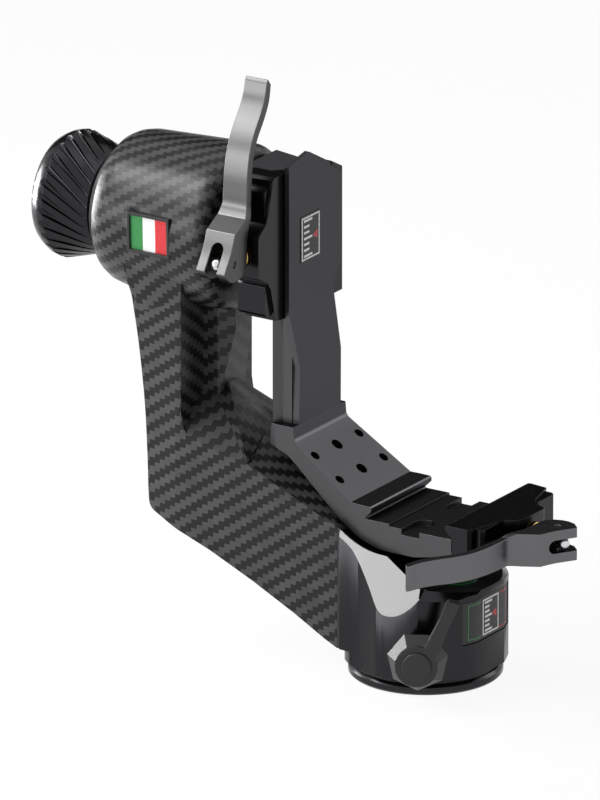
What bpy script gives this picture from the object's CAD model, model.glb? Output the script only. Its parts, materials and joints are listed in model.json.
"""Looks of the gimbal tripod head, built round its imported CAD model."""

import json
import math

import bmesh
import bpy
from bpy.props import FloatProperty, FloatVectorProperty, PointerProperty
from mathutils import Matrix, Vector


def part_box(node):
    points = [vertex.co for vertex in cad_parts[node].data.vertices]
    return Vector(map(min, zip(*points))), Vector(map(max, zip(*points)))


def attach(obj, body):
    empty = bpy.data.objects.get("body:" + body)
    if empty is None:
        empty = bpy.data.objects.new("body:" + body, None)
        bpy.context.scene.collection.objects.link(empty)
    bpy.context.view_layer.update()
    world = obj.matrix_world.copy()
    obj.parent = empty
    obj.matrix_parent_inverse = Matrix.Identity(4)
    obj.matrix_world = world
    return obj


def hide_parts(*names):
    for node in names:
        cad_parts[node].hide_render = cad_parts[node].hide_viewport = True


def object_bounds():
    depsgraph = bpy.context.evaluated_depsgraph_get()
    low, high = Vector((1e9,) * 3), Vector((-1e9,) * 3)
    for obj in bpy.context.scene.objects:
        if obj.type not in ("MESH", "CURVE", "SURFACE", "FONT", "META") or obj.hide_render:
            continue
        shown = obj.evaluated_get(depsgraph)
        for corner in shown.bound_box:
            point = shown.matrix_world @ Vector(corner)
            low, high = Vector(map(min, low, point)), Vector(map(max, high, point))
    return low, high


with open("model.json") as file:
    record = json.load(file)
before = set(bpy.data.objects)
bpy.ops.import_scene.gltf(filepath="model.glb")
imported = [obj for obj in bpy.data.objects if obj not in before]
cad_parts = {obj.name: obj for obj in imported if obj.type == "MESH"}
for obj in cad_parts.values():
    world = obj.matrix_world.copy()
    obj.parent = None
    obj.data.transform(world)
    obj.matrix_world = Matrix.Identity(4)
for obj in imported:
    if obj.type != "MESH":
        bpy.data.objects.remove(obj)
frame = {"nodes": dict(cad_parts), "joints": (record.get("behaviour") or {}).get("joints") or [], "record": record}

bl_info = {
    "name": "Gimbal tripod head",
    "version": (1, 0, 0),
    "blender": (4, 5, 0),
    "location": "View3D > Sidebar > Gimbal head",
    "description": "Dresses the parts of a gimbal tripod head in their finishes",
    "category": "Object",
}

MM = 0.001
CAD_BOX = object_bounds()
PRINT_THICKNESS = 0.06
PRINT_SINK = 0.02 * MM
JOINTS = {j["name"]: j for j in frame["joints"]}
BODY_OF = {n: b for b, ns in frame["record"]["behaviour"]["bodies"].items() for n in ns}
SLOT_OF = {s["node"]: s["material_slot"] for s in frame["record"]["subparts"]}
TILT_Z = JOINTS["tilt_turn"]["pos_m"][2]


# ---- Colours and materials ----

def linear(hex_code):
    """An sRGB hex colour as linear RGBA."""
    values = [int(hex_code[i:i + 2], 16) / 255 for i in (1, 3, 5)]
    return (*[v / 12.92 if v <= 0.04045 else ((v + 0.055) / 1.055) ** 2.4 for v in values], 1)


def add(tree, kind, links=None, **settings):
    """One node with its settings; links maps its inputs to sockets or values."""
    node = tree.nodes.new(kind)
    for name, value in settings.items():
        setattr(node, name, value)
    for key, value in (links or {}).items():
        socket = node.inputs[key]
        if isinstance(value, bpy.types.NodeSocket):
            tree.links.new(value, socket)
        else:
            socket.default_value = value
    return node


def calc(tree, operation, *values):
    """The result of one sum on sockets or numbers."""
    return add(tree, "ShaderNodeMath", dict(enumerate(values)), operation=operation).outputs[0]


def start_material(name, **sockets):
    """A material with a Principled shader whose constant values sit on its own sockets."""
    material = bpy.data.materials.new(name)
    material.use_nodes = True
    tree = material.node_tree
    tree.nodes.clear()
    shader = add(tree, "ShaderNodeBsdfPrincipled", sockets)
    add(tree, "ShaderNodeOutputMaterial", {"Surface": shader.outputs[0]})
    return material, tree, shader


def grain(tree, shader, size_mm, depth_mm, strength, stretch=(1, 1, 1)):
    """Fine surface relief of the given grain size, stretched along the given axes."""
    place = add(tree, "ShaderNodeTexCoord")
    spread = add(tree, "ShaderNodeMapping", {"Vector": place.outputs["Object"],
                                             "Scale": stretch})
    noise = add(tree, "ShaderNodeTexNoise", {"Vector": spread.outputs[0],
                                             "Scale": 1 / (size_mm * MM), "Detail": 2.0})
    bump = add(tree, "ShaderNodeBump", {"Height": noise.outputs["Fac"],
                                        "Distance": depth_mm * MM, "Strength": strength})
    tree.links.new(bump.outputs[0], shader.inputs["Normal"])
    return noise


def vary(tree, shader, socket, source, low, high):
    """Drives a socket of the shader between two values by a grain."""
    ramp = add(tree, "ShaderNodeMapRange", {"Value": source, "From Min": 0.3, "From Max": 0.7,
                                            "To Min": low, "To Max": high})
    tree.links.new(ramp.outputs[0], shader.inputs[socket])


def mottle(tree, shader, source, dark, light):
    """Drives the base colour between two near colours by a grain."""
    mix = add(tree, "ShaderNodeMix", {"Factor": source}, data_type="RGBA")
    mix.inputs[6].default_value = linear(dark)
    mix.inputs[7].default_value = linear(light)
    tree.links.new(mix.outputs[2], shader.inputs["Base Color"])


def anodised_aluminium(name, dark, light, rough=(0.4, 0.5), edge="#8A8A8E"):
    """Bead-blasted and anodised aluminium: a satin face with a very fine, even grain."""
    material, tree, shader = start_material(name, Metallic=1.0)
    shader.inputs["Specular Tint"].default_value = linear(edge)
    noise = grain(tree, shader, 0.35, 0.02, 0.25)
    vary(tree, shader, "Roughness", noise.outputs["Fac"], *rough)
    mottle(tree, shader, noise.outputs["Fac"], dark, light)
    return material


def turned_steel(name="turned_stainless_steel"):
    """Turned stainless steel: bright, with fine tool marks."""
    material, tree, shader = start_material(name, Metallic=1.0)
    noise = grain(tree, shader, 0.3, 0.01, 0.2)
    vary(tree, shader, "Roughness", noise.outputs["Fac"], 0.16, 0.26)
    mottle(tree, shader, noise.outputs["Fac"], "#C9CBCE", "#DADCDE")
    return material


def turned_brass(name="turned_brass"):
    """Turned brass: warm and polished, a little dulled."""
    material, tree, shader = start_material(name, Metallic=1.0)
    noise = grain(tree, shader, 0.4, 0.01, 0.2)
    vary(tree, shader, "Roughness", noise.outputs["Fac"], 0.2, 0.32)
    mottle(tree, shader, noise.outputs["Fac"], "#B08E48", "#D9BE7C")
    return material


def moulded_plastic(name, colour, light, rough=0.35, size_mm=0.5):
    """Moulded or enamelled plastic with a faint orange-peel skin."""
    material, tree, shader = start_material(name, IOR=1.49)
    noise = grain(tree, shader, size_mm, 0.01, 0.2)
    vary(tree, shader, "Roughness", noise.outputs["Fac"], rough, rough + 0.08)
    mottle(tree, shader, noise.outputs["Fac"], colour, light)
    return material


def carbon_twill(name="lacquered_carbon_twill"):
    """Carbon fibre laminate in 2x2 twill under clear lacquer: tows of two directions catch
    the light in turn, so light and dark stairs climb the surface. The UV map is in mm."""
    look = bpy.context.scene.gimbal_looks
    material, tree, shader = start_material(name, IOR=1.5, Roughness=0.42, **{
        "Specular IOR Level": 0.03, "Coat Weight": 0.5, "Coat Roughness": 0.3,
        "Coat IOR": 1.5})
    uv = add(tree, "ShaderNodeUVMap", uv_map="weave")
    parts = add(tree, "ShaderNodeSeparateXYZ", {"Vector": uv.outputs[0]})
    cells = {}
    crown = {}
    fibres = {}
    for axis, width, stretch in (("X", look.tow_across, (9.0, 0.6, 1.0)),
                                 ("Y", look.tow_up, (0.6, 9.0, 1.0))):
        scaled = calc(tree, "DIVIDE", parts.outputs[axis], width / MM)
        cells[axis] = calc(tree, "FLOOR", scaled)
        # Each tow is crowned across its width, and fibres run along it
        middle = calc(tree, "SUBTRACT", calc(tree, "FRACT", scaled), 0.5)
        crown[axis] = add(tree, "ShaderNodeMapRange", {
            "Value": calc(tree, "ABSOLUTE", middle), "From Min": 0.28, "From Max": 0.5,
            "To Min": 1.0, "To Max": 0.0}, interpolation_type="SMOOTHSTEP")
        spread = add(tree, "ShaderNodeMapping", {"Vector": uv.outputs[0], "Scale": stretch})
        fibres[axis] = add(tree, "ShaderNodeTexNoise", {"Vector": spread.outputs[0],
                                                        "Scale": 1.0, "Detail": 1.0})
    step = calc(tree, "SUBTRACT", cells["X"], cells["Y"])
    weft = calc(tree, "LESS_THAN", calc(tree, "FLOORED_MODULO", step, 4.0), 1.5)
    height = add(tree, "ShaderNodeMix", {"Factor": weft, "A": crown["X"].outputs[0],
                                         "B": crown["Y"].outputs[0]}, data_type="FLOAT")
    fibre = add(tree, "ShaderNodeMix", {"Factor": weft, "A": fibres["X"].outputs["Fac"],
                                        "B": fibres["Y"].outputs["Fac"]}, data_type="FLOAT")
    # Slow drift of the light over the panel brightens some tows more than others
    patches = add(tree, "ShaderNodeTexNoise", {"Vector": uv.outputs[0], "Scale": 0.09,
                                               "Detail": 1.0})
    bright = add(tree, "ShaderNodeMapRange", {"Value": patches.outputs["Fac"],
                 "From Min": 0.3, "From Max": 0.7, "To Min": 0.7, "To Max": 1.0})
    light = calc(tree, "MULTIPLY", weft, bright.outputs[0])
    level = calc(tree, "ADD", light, calc(tree, "MULTIPLY", fibre.outputs[0], 0.12))
    mottle(tree, shader, level, look_hex(look.tow_dark), look_hex(look.tow_light))
    bump = add(tree, "ShaderNodeBump", {"Height": height.outputs[0], "Distance": 0.12 * MM,
                                        "Strength": 0.35})
    tree.links.new(bump.outputs[0], shader.inputs["Normal"])
    return material


def look_hex(colour):
    """An sRGB colour property as a hex code."""
    return "#" + "".join(f"{round(c * 255):02X}" for c in colour[:3])


def make_materials():
    """Every finish of the head, by the record's material slot."""
    look = bpy.context.scene.gimbal_looks
    black = look_hex(look.black_anodise)
    return {
        "anodised_black": anodised_aluminium("black_anodised_aluminium", black, "#565658",
                                             (0.3, 0.38)),
        "bright_black": anodised_aluminium("burnished_black_aluminium", "#2E2E30", "#343436",
                                           (0.2, 0.26), "#F0F0F0"),
        "anodised_grey": anodised_aluminium("dark_anodised_aluminium", "#646466", "#6C6C6E",
                                            (0.26, 0.34)),
        "lever_silver": anodised_aluminium("satin_grey_anodised_aluminium", "#5C5C5C",
                                           "#666666", (0.3, 0.38)),
        "facet_silver": anodised_aluminium("bead_blasted_aluminium", "#858585", "#909090",
                                           (0.42, 0.5)),
        "carbon_weave": carbon_twill(),
        "deep_black": moulded_plastic("black_moulded_nylon", "#161617", "#1C1C1D", 0.45),
        "steel": turned_steel(),
        "bare_aluminium": anodised_aluminium("turned_aluminium", "#A6A8AA", "#B6B8BA",
                                             (0.25, 0.35)),
        "glide_plastic": moulded_plastic("glide_acetal", "#333334", "#3A3A3B", 0.4),
        "brass": turned_brass(),
        "red_fibre": moulded_plastic("red_fibre_washer", "#B8202A", "#C62A34", 0.6),
        "level_green": moulded_plastic("green_anodised_ring", "#1E6B36", "#23763D", 0.3),
        "level_vial": moulded_plastic("pale_green_acrylic", "#D8E8C2", "#E2F0CF", 0.05),
        "flag_green": moulded_plastic("green_enamel", "#2F8A46", "#33914B", 0.25),
        "flag_white": moulded_plastic("white_enamel", "#F0F0EE", "#F6F6F4", 0.25),
        "flag_red": moulded_plastic("red_enamel", "#D32A31", "#DB3038", 0.25),
        "print_white": moulded_plastic("white_screen_print", "#ECECEC", "#F2F2F2", 0.4),
        "print_green": moulded_plastic("green_screen_print", "#35784A", "#3B7F50", 0.4),
        "print_red": moulded_plastic("red_screen_print", "#C23A42", "#CA424A", 0.4),
        "black_card": moulded_plastic("black_card", "#0A0A0A", "#0C0C0C", 0.8),
    }


MATERIALS = {}


# ---- Mesh helpers ----

def new_object(name, mesh, body, material):
    """A piece in the scene that rides on a body and takes a slot's finish."""
    piece = bpy.data.objects.new(name, mesh)
    bpy.context.scene.collection.objects.link(piece)
    if not mesh.materials:
        mesh.materials.append(MATERIALS[material])
    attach(piece, body)
    return piece


def merged(node):
    """The node's mesh as whole flat faces, without the triangulation."""
    bm = bmesh.new()
    bm.from_mesh(frame["nodes"][node].data)
    bmesh.ops.remove_doubles(bm, verts=bm.verts, dist=2e-6)
    bmesh.ops.dissolve_limit(bm, angle_limit=math.radians(0.05), verts=bm.verts, edges=bm.edges,
                             use_dissolve_boundaries=False, delimit=set())
    return bm


def eased(node, width, segments=2, angle=28, paint=None, finish=None):
    """The CAD node with its sharp edges broken by a small round, in its slot's finish or
    in another one of that slot."""
    bm = merged(node)
    mesh = bpy.data.meshes.new(node + "_dressed")
    bm.to_mesh(mesh)
    bm.free()
    scratch = bpy.data.objects.new(node + "_scratch", mesh)
    bpy.context.scene.collection.objects.link(scratch)
    bevel = scratch.modifiers.new("edge_break", "BEVEL")
    bevel.width = width * MM
    bevel.segments = segments
    bevel.limit_method = "ANGLE"
    bevel.angle_limit = math.radians(angle)
    bevel.use_clamp_overlap = True
    graph = bpy.context.evaluated_depsgraph_get()
    final = bpy.data.meshes.new_from_object(scratch.evaluated_get(graph))
    bpy.data.objects.remove(scratch)
    for polygon in final.polygons:
        polygon.use_smooth = True
    final.set_sharp_from_angle(angle=math.radians(35))
    slot = SLOT_OF[node]
    finish = finish or slot
    final.materials.clear()
    final.materials.append(MATERIALS[finish])
    if paint:
        paint(final)
    piece = new_object(node + "_dressed", final, BODY_OF[node], finish)
    weighted = piece.modifiers.new("flat_faces", "WEIGHTED_NORMAL")
    weighted.keep_sharp = True
    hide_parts(node)
    return piece


def flat_shape(name, outlines, place, thickness, body, material):
    """A thin printed or inlaid shape: closed outlines in mm, extruded, then placed."""
    bm = bmesh.new()
    for outline in outlines:
        ring = [bm.verts.new((x * MM, y * MM, 0)) for x, y in outline]
        face = bm.faces.new(ring)
        top = bmesh.ops.extrude_face_region(bm, geom=[face])["geom"]
        for v in top:
            if isinstance(v, bmesh.types.BMVert):
                v.co.z += thickness * MM
    bmesh.ops.recalc_face_normals(bm, faces=bm.faces)
    mesh = bpy.data.meshes.new(name)
    bm.to_mesh(mesh)
    bm.free()
    mesh.transform(place)
    return new_object(name, mesh, body, material)


def bar(x0, y0, x1, y1):
    """A rectangle's outline in mm."""
    return [(x0, y0), (x1, y0), (x1, y1), (x0, y1)]


def frame_bars(w, h, line):
    """Four bars that outline a rectangle w by h about its centre."""
    return [bar(-w / 2, -h / 2, w / 2, -h / 2 + line), bar(-w / 2, h / 2 - line, w / 2, h / 2),
            bar(-w / 2, -h / 2 + line, -w / 2 + line, h / 2 - line),
            bar(w / 2 - line, -h / 2 + line, w / 2, h / 2 - line)]


# Which faces of the arm belong to the drum, the radius at which the weave is wrapped round
# it, and where the weave starts on the flat faces, in m
DRUM_CORE = 0.0275
DRUM_REACH = 0.036
NECK_DROP = 0.01
WRAP_RADIUS = 0.0335
EDGE_START = 0.004
TOP_START = 0.1


def weave_map(mesh):
    """A UV map in mm for the weave: round the drum, and flat on each side of the arm."""
    layer = mesh.uv_layers.new(name="weave")
    low_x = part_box("carbon_arm")[0].x
    for polygon in mesh.polygons:
        n, c = polygon.normal, polygon.center
        out = Vector((0, c.y, c.z - TILT_Z))
        on_drum = (out.length > DRUM_CORE and c.z > TILT_Z - DRUM_REACH
                   and n.dot(out.normalized()) > 0.4
                   and not (abs(n.y) > 0.995 and c.z < TILT_Z - NECK_DROP))
        for i in polygon.loop_indices:
            p = mesh.vertices[mesh.loops[i].vertex_index].co
            if on_drum:
                turn = math.atan2(p.z - TILT_Z, -p.y)
                base = math.atan2(c.z - TILT_Z, -c.y)
                turn += round((base - turn) / math.tau) * math.tau
                u, v = p.x - low_x, turn * WRAP_RADIUS + TILT_Z
            elif abs(n.y) > 0.6:
                u, v = p.x - low_x, p.z
            elif abs(n.x) > abs(n.z):
                u, v = p.y * -math.copysign(1, n.x) + EDGE_START, p.z
            else:
                u, v = p.x - low_x, p.y + TOP_START
            layer.data[i].uv = (u / MM, v / MM)


# ---- Pieces ----

# How far the bright facets of the housing lean, and the least area of one in m2
FACET_LEAN = (0.2, 0.4)
FACET_AREA = 2e-5


def dress_all(nodes, width, **options):
    """Each of the nodes with its edges broken by the same width in mm."""
    for node in nodes:
        eased(node, width, **options)


def show_facet(mesh):
    """Gives the slanting facets beside the arm their bright blasted face."""
    mesh.materials.append(MATERIALS["facet_silver"])
    for polygon in mesh.polygons:
        n = polygon.normal
        leans = abs(n.y) > 0.85 and FACET_LEAN[0] < n.z < FACET_LEAN[1]
        if leans and polygon.area > FACET_AREA:
            polygon.material_index = 1


class DressArm(bpy.types.Operator):
    """Carbon arm and drum in lacquered twill, with the black end plate"""
    bl_idname = "gimbal.dress_arm"
    bl_label = "Carbon arm"

    def execute(self, context):
        eased("carbon_arm", 1.2, segments=3, angle=24, paint=weave_map)
        dress_all(["arm_flange", "drum_end_ring", "thrust_washer", "badge_frame"], 0.2)
        return {"FINISHED"}


class DressBase(bpy.types.Operator):
    """Mounting plate, housing and bubble level"""
    bl_idname = "gimbal.dress_base"
    bl_label = "Base"

    def execute(self, context):
        eased("base_housing", 0.35, paint=show_facet, finish="bright_black")
        dress_all(["mounting_plate"], 0.2, finish="bright_black")
        dress_all(["level_ring", "label_plate"], 0.12)
        for node in ("level_vial", "thread_bush", "pan_spindle", "plate_screws", "spindle_nut",
                     "glide_ring", "pan_bearing_lower", "pan_bearing_upper", "pan_brake_shoe",
                     "arm_studs", "bearing_sleeve", "tilt_bearing_left", "tilt_bearing_right",
                     "friction_disc", "badge_stripe_green", "badge_stripe_white",
                     "badge_stripe_red", "pan_lock_screw", "tilt_shaft", "clamp_bolts",
                     "tilt_guide_pins", "platform_guide_pins"):
            paint_node(node)
        return {"FINISHED"}


def paint_node(node):
    """Gives a CAD node that keeps its shape its finish."""
    piece = frame["nodes"][node]
    piece.data.materials.clear()
    piece.data.materials.append(MATERIALS[SLOT_OF[node]])


class DressKnobs(bpy.types.Operator):
    """Fluted tilt knob and faceted pan lock knob with their caps"""
    bl_idname = "gimbal.dress_knobs"
    bl_label = "Knobs"

    def execute(self, context):
        dress_all(["pan_knob_body"], 0.35, finish="deep_black")
        dress_all(["pan_knob_cap", "tilt_knob_cap"], 0.15)
        eased("tilt_knob", 0.2, angle=25, finish="bright_black")
        return {"FINISHED"}


class DressClamps(bpy.types.Operator):
    """Both lever clamps: bodies, jaws, levers, washers and bolts"""
    bl_idname = "gimbal.dress_clamps"
    bl_label = "Clamps"

    def execute(self, context):
        dress_all(["tilt_clamp_body", "tilt_jaw", "platform_jaw"], 0.45,
                  finish="bright_black")
        dress_all(["tilt_lever", "platform_lever"], 0.5, segments=3, angle=30)
        dress_all(["tilt_cup_washer", "platform_cup_washer", "tilt_friction_washer",
                   "platform_friction_washer", "tilt_lever_pin", "platform_lever_pin"], 0.15)
        dress_all(["tilt_draw_bolt", "platform_draw_bolt"], 0.4, segments=3)
        return {"FINISHED"}


class DressCradle(bpy.types.Operator):
    """Cradle: the upright with its rail, and the slanted plate with the platform"""
    bl_idname = "gimbal.dress_cradle"
    bl_label = "Cradle"

    def execute(self, context):
        dress_all(["cradle_upright", "cradle_platform"], 0.35)
        dress_all(["cradle_emblem"], 0.1)
        paint_node("cradle_screws")
        return {"FINISHED"}


class PrintMarks(bpy.types.Operator):
    """Plain printed frames, ticks and brackets on the emblem and label plates"""
    bl_idname = "gimbal.print_marks"
    bl_label = "Printed marks"

    def execute(self, context):
        low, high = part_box("cradle_emblem")
        centre = (low + high) / 2
        size = (high - low) / MM
        place = facing_x(high.x - PRINT_SINK, centre.y, centre.z)
        index_marks("emblem", size.y, size.z, place, "cradle", "cradle_emblem")
        label_marks()
        level_bubble()
        return {"FINISHED"}


# Turns a drawing so that its face looks along +X, its width runs along +Y and its height up
FACE_X = Matrix(((0, 0, 1, 0), (1, 0, 0, 0), (0, 1, 0, 0), (0, 0, 0, 1)))

# Frame line, its two margins, the ticks inside two more margins, and the pointer, in mm
FRAME_LINE = 0.7
FRAME_MARGINS = 1.2
TICK_MARGINS = 4.6
TICK_ROWS = 7
TICK_HALF = 0.5
LONG_TICK = 0.62
SHORT_TICK = 0.4
POINTER_LENGTH = 3.4
POINTER_HALF = 2.0


def facing_x(x, y, z):
    """The place of a drawing that faces along +X."""
    return Matrix.Translation((x, y, z)) @ FACE_X


def index_marks(name, width, height, place, body, node):
    """A generic scale in a white frame: short ticks down one side and one red triangle."""
    outlines = frame_bars(width - FRAME_MARGINS, height - FRAME_MARGINS, FRAME_LINE)
    inner_w, inner_h = width - TICK_MARGINS, height - TICK_MARGINS
    side = inner_w / 2
    for row in range(TICK_ROWS):
        y = (row / (TICK_ROWS - 1) - 0.5) * inner_h
        length = inner_w * (LONG_TICK if row % 3 == 0 else SHORT_TICK)
        outlines.append(bar(-side, y - TICK_HALF, -side + length, y + TICK_HALF))
    pointer = [(side, POINTER_HALF), (side - POINTER_LENGTH, 0), (side, -POINTER_HALF)]
    flat_shape(name + "_marks", outlines, place, PRINT_THICKNESS, body, "print_white")
    flat_shape(name + "_pointer", [pointer], place, PRINT_THICKNESS, body, "print_red")


# The label's scale, where its corners fold and by how much, and its brackets, in mm
LABEL_SCALE = (13.3, 16.7)
LABEL_SHIFT = 0.45
LABEL_FOLD = 10.4
LABEL_LEAN = math.atan2(18, 48)
BRACKET_INNER = 7.0
BRACKET_REACH = 4.4
BRACKET_HALF = 7.7
BRACKET_LINE = 0.5


def label_marks():
    """The label's white frame, and a green and a red bracket that fold round its corners."""
    low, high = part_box("label_plate")
    face_x = high.x - PRINT_SINK
    middle = (low.z + high.z) / 2
    index_marks("label", *LABEL_SCALE, facing_x(face_x, LABEL_SHIFT * MM, middle), "pan",
                "label_plate")
    half, line = BRACKET_HALF, BRACKET_LINE
    for side, colour in ((-1, "print_green"), (1, "print_red")):
        x0, x1 = sorted((side * BRACKET_INNER, side * LABEL_FOLD))
        front = [bar(x0, z, x1, z + line) for z in (-half, half - line)]
        flat_shape(f"bracket_front_{colour}", front, facing_x(face_x, 0, middle),
                   PRINT_THICKNESS, "pan", colour)
        x0, x1 = sorted((0, side * BRACKET_REACH))
        e0, e1 = sorted((side * (BRACKET_REACH - line), side * BRACKET_REACH))
        turned = [bar(x0, -half, x1, -half + line), bar(x0, half - line, x1, half),
                  bar(e0, -half + line, e1, half - line)]
        folded = (Matrix.Translation((face_x, side * LABEL_FOLD * MM, middle))
                  @ Matrix.Rotation(side * LABEL_LEAN, 4, "Z") @ FACE_X)
        flat_shape(f"bracket_side_{colour}", turned, folded, PRINT_THICKNESS, "pan",
                   colour)


# The bubble's radius, its place off the middle of the glass and its depth, in m
BUBBLE_RADIUS = 0.0022
BUBBLE_SHIFT = (0.0006, -0.0004, -0.0002)
BUBBLE_FLATNESS = 0.25


def level_bubble():
    """The air bubble under the level's glass, a flattened drop."""
    low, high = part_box("level_vial")
    bm = bmesh.new()
    bmesh.ops.create_uvsphere(bm, u_segments=32, v_segments=16,
                               radius=BUBBLE_RADIUS)
    for face in bm.faces:
        face.smooth = True
    mesh = bpy.data.meshes.new("level_bubble")
    bm.to_mesh(mesh)
    bm.free()
    centre = (low + high) / 2
    top = Vector((centre.x, centre.y, high.z))
    mesh.transform(Matrix.Translation(top + Vector(BUBBLE_SHIFT))
                   @ Matrix.Diagonal((1, 1, BUBBLE_FLATNESS, 1)))
    new_object("level_bubble", mesh, "pan", "level_vial")


# ---- Stage ----

TARGET = Vector((-0.0632, 0.00265, 0.1048))
VIEW_AZIMUTH = 32.75
VIEW_ELEVATION = 19.15
LENS = 1000
SENSOR = 36
FAR_CLIP = 100
DISTANCE = 9.144
WORLD_LIGHT = 0.3
FLOOR_GLOW = 0.92
FLOOR_HALF = 30
FLOOR_GAP = 0.1 * MM

# Name, place in m, width and height in m, and power in W
LAMPS = (("front_box", (-1.10, -1.75, 0.42), (1.0, 0.7), 11.5),
         ("edge_box", (-1.15, -0.60, 1.55), (0.6, 0.6), 15),
         ("back_box", (0.62, 1.50, 1.10), (0.5, 0.8), 4),
         ("left_box", (-1.90, -0.30, 0.50), (0.4, 1.0), 5),
         ("rim_box", (-0.66, -0.03, 0.16), (0.22, 0.26), 5),
         ("drum_box", (-0.97, -1.08, 1.20), (0.5, 0.4), 5),
         ("top_box", (0.0, 0.0, 2.0), (0.8, 0.8), 2))
# Name, centre in m, the direction it faces, width and height in m
CARDS = (("back_card", (-0.95, 1.35, 0.72), (0.51, -0.79, -0.33), (2.0, 1.1)),)


def place_lamp(name, place, size, power):
    """One rectangular soft box, turned towards the head."""
    lamp = bpy.data.lights.new(name, "AREA")
    lamp.shape = "RECTANGLE"
    lamp.size, lamp.size_y = size
    lamp.energy = power
    holder = bpy.data.objects.new(name, lamp)
    bpy.context.scene.collection.objects.link(holder)
    holder.location = place
    toward = TARGET - Vector(place)
    holder.rotation_euler = toward.to_track_quat("-Z", "Y").to_euler()


def place_card(name, place, facing, size):
    """One dark card, which the top and side faces mirror and the camera looks through."""
    bm = bmesh.new()
    bmesh.ops.create_grid(bm, x_segments=1, y_segments=1, size=0.5)
    mesh = bpy.data.meshes.new(name)
    bm.to_mesh(mesh)
    bm.free()
    turn = Vector(facing).to_track_quat("Z", "Y").to_matrix().to_4x4()
    mesh.transform(Matrix.Translation(place) @ turn @ Matrix.Diagonal((*size, 1, 1)))
    mesh.materials.append(MATERIALS["black_card"])
    card = bpy.data.objects.new(name, mesh)
    card.visible_camera = False
    bpy.context.scene.collection.objects.link(card)


class SetStage(bpy.types.Operator):
    """Pale floor, soft studio light and the camera at the photograph's angle"""
    bl_idname = "gimbal.set_stage"
    bl_label = "Stage"

    def execute(self, context):
        scene = context.scene
        scene.view_settings.view_transform = "Standard"
        a, e = math.radians(VIEW_AZIMUTH), math.radians(VIEW_ELEVATION)
        back = Vector((math.sin(a) * math.cos(e), -math.cos(a) * math.cos(e), math.sin(e)))
        camera = bpy.data.objects.new("camera", bpy.data.cameras.new("camera"))
        scene.collection.objects.link(camera)
        camera.data.lens = LENS
        camera.data.sensor_width = SENSOR
        camera.data.clip_end = FAR_CLIP
        camera.location = TARGET + back * DISTANCE
        camera.rotation_mode = "QUATERNION"
        camera.rotation_quaternion = (-back).to_track_quat("-Z", "Y")
        scene.camera = camera
        white_world(scene)
        for lamp in LAMPS:
            place_lamp(*lamp)
        for card in CARDS:
            place_card(*card)
        make_floor()
        return {"FINISHED"}


def white_world(scene):
    """A soft grey world to light by, which the camera and the gloss see as white."""
    world = bpy.data.worlds.new("studio")
    world.use_nodes = True
    tree = world.node_tree
    tree.nodes.clear()
    seen = seen_as_backdrop(tree)
    strength = add(tree, "ShaderNodeMapRange", {"Value": seen, "To Min": WORLD_LIGHT,
                                                "To Max": 1.0})
    sky = add(tree, "ShaderNodeBackground", {"Color": (1, 1, 1, 1),
                                             "Strength": strength.outputs[0]})
    add(tree, "ShaderNodeOutputWorld", {"Surface": sky.outputs[0]})
    scene.world = world


def seen_as_backdrop(tree):
    """A socket that is 1 for camera, gloss and transmission rays."""
    path = add(tree, "ShaderNodeLightPath").outputs
    first = calc(tree, "MAXIMUM", path["Is Camera Ray"], path["Is Glossy Ray"])
    return calc(tree, "MAXIMUM", first, path["Is Transmission Ray"])


def make_floor():
    """A wide white floor under the head, which keeps the head's shadow."""
    mesh = bpy.data.meshes.new("floor")
    half = FLOOR_HALF
    z = CAD_BOX[0].z - FLOOR_GAP
    mesh.from_pydata([(-half, -half, z), (half, -half, z), (half, half, z), (-half, half, z)],
                     [], [(0, 1, 2, 3)])
    floor = bpy.data.objects.new("floor", mesh)
    bpy.context.scene.collection.objects.link(floor)
    material = bpy.data.materials.new("white_paper")
    material.use_nodes = True
    tree = material.node_tree
    tree.nodes.clear()
    paper = add(tree, "ShaderNodeBsdfDiffuse", {"Color": linear("#F6F6F6")})
    glow = add(tree, "ShaderNodeEmission", {"Color": (1, 1, 1, 1), "Strength": 1.0})
    share = calc(tree, "MULTIPLY", seen_as_backdrop(tree), FLOOR_GLOW)
    mix = add(tree, "ShaderNodeMixShader", {0: share, 1: paper.outputs[0],
                                            2: glow.outputs[0]})
    add(tree, "ShaderNodeOutputMaterial", {"Surface": mix.outputs[0]})
    mesh.materials.append(material)


# ---- Add-on ----

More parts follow.
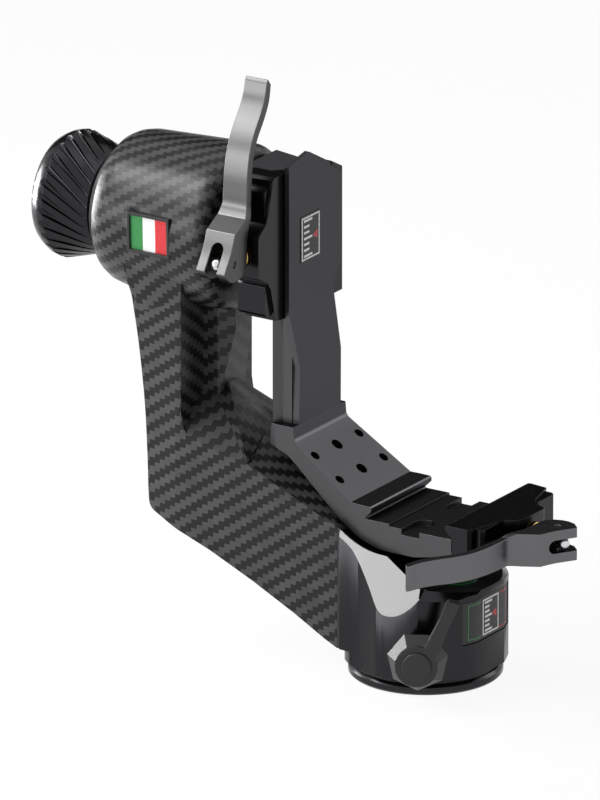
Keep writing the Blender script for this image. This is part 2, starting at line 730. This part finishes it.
class GimbalLooks(bpy.types.PropertyGroup):
    """Sizes and colours that a user would change"""
    tow_across: FloatProperty(name="Tow width across", description="Width of one carbon tow "
                              "along the arm", default=0.0027, unit="LENGTH")
    tow_up: FloatProperty(name="Tow width up", description="Width of one carbon tow up the "
                          "arm", default=0.0019, unit="LENGTH")
    tow_dark: FloatVectorProperty(name="Dark tow", description="Colour of the tows that turn "
                                  "from the light", size=3, subtype="COLOR_GAMMA",
                                  default=(0.06, 0.06, 0.062))
    tow_light: FloatVectorProperty(name="Light tow", description="Colour of the tows that "
                                   "catch the light", size=3, subtype="COLOR_GAMMA",
                                   default=(0.28, 0.28, 0.283))
    black_anodise: FloatVectorProperty(name="Black anodise", description="Colour of the black "
                                       "metal parts", size=3, subtype="COLOR_GAMMA",
                                       default=(0.31, 0.31, 0.315))


class GimbalPanel(bpy.types.Panel):
    """The head's looks, piece by piece"""
    bl_idname = "VIEW3D_PT_gimbal_head"
    bl_label = "Gimbal head"
    bl_space_type = "VIEW_3D"
    bl_region_type = "UI"
    bl_category = "Gimbal head"

    def draw(self, context):
        looks = context.scene.gimbal_looks
        for name in GimbalLooks.__annotations__:
            self.layout.prop(looks, name)
        for operator in OPERATORS:
            self.layout.operator(operator.bl_idname)


OPERATORS = (SetStage, DressArm, DressBase, DressKnobs, DressClamps, DressCradle, PrintMarks)
CLASSES = (GimbalLooks, *OPERATORS, GimbalPanel)


def register():
    for cls in CLASSES:
        bpy.utils.register_class(cls)
    bpy.types.Scene.gimbal_looks = PointerProperty(type=GimbalLooks)


def unregister():
    del bpy.types.Scene.gimbal_looks
    for cls in reversed(CLASSES):
        bpy.utils.unregister_class(cls)


def main():
    register()
    MATERIALS.update(make_materials())
    bpy.ops.gimbal.set_stage()
    bpy.ops.gimbal.dress_arm()
    bpy.ops.gimbal.dress_base()
    bpy.ops.gimbal.dress_knobs()
    bpy.ops.gimbal.dress_clamps()
    bpy.ops.gimbal.dress_cradle()
    bpy.ops.gimbal.print_marks()


if __name__ == "__main__":
    main()
